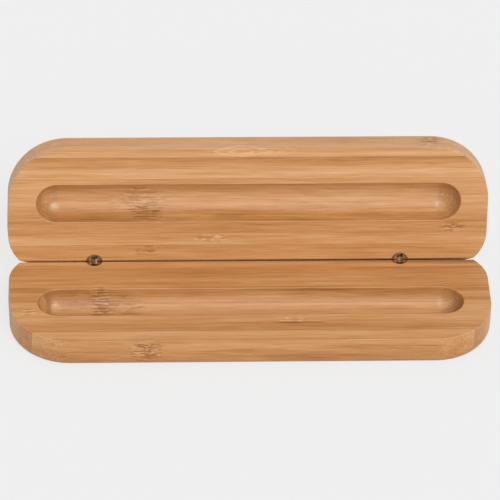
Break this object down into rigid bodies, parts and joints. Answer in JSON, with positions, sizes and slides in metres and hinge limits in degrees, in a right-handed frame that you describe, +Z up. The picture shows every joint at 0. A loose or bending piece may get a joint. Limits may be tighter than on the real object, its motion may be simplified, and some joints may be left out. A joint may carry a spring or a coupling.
{
  "type": "bamboo pen box",
  "caption": "Slim hinged bamboo pen box with rounded ends: the base and the lid each have a half-round, ball-ended pen groove and are joined by small round barrel hinges.",
  "frame": {"origin": "centre of the lower half's flat underside, on the surface that it rests on", "axes": "+X along the length to the right, +Y towards the hinge side, +Z up; the lower half lies flat and the lid stands open"},
  "size_m": [0.175, 0.066, 0.0564],
  "materials": {
    "bamboo": "clear satin lacquer over glued-up caramel bamboo strips",
    "nickel_barrel": "dull antique nickel plate",
    "pin_steel": "drawn wire",
    "leaf_steel": "stamped, dull"
  },
  "bodies": {
    "base": {"base_shell": "bamboo", "left_hinge_base_barrel": "nickel_barrel", "left_hinge_base_pin": "pin_steel", "right_hinge_base_barrel": "nickel_barrel", "right_hinge_base_pin": "pin_steel"},
    "hinge_leaves": {"left_hinge_outer_leaf": "leaf_steel", "left_hinge_inner_leaf": "leaf_steel", "right_hinge_outer_leaf": "leaf_steel", "right_hinge_inner_leaf": "leaf_steel"},
    "lid": {"lid_shell": "bamboo", "left_hinge_lid_barrel": "nickel_barrel", "left_hinge_lid_pin": "pin_steel", "right_hinge_lid_barrel": "nickel_barrel", "right_hinge_lid_pin": "pin_steel"}
  },
  "joints": [
    {"name": "leaves_on_base_pins", "type": "hinge", "parent": "base", "child": "hinge_leaves", "pos_m": [0, 0.02035, 0.011], "axis": [-1, 0, 0], "range_deg": [-51, 1]},
    {"name": "lid_on_leaves", "type": "hinge", "parent": "hinge_leaves", "child": "lid", "pos_m": [0, 0.02164, 0.01205], "axis": [-1, 0, 0], "range_deg": [-51, 1]}
  ],
  "couplings": [
    {"joint": "leaves_on_base_pins", "follows": "lid_on_leaves", "ratio": 1}
  ]
}
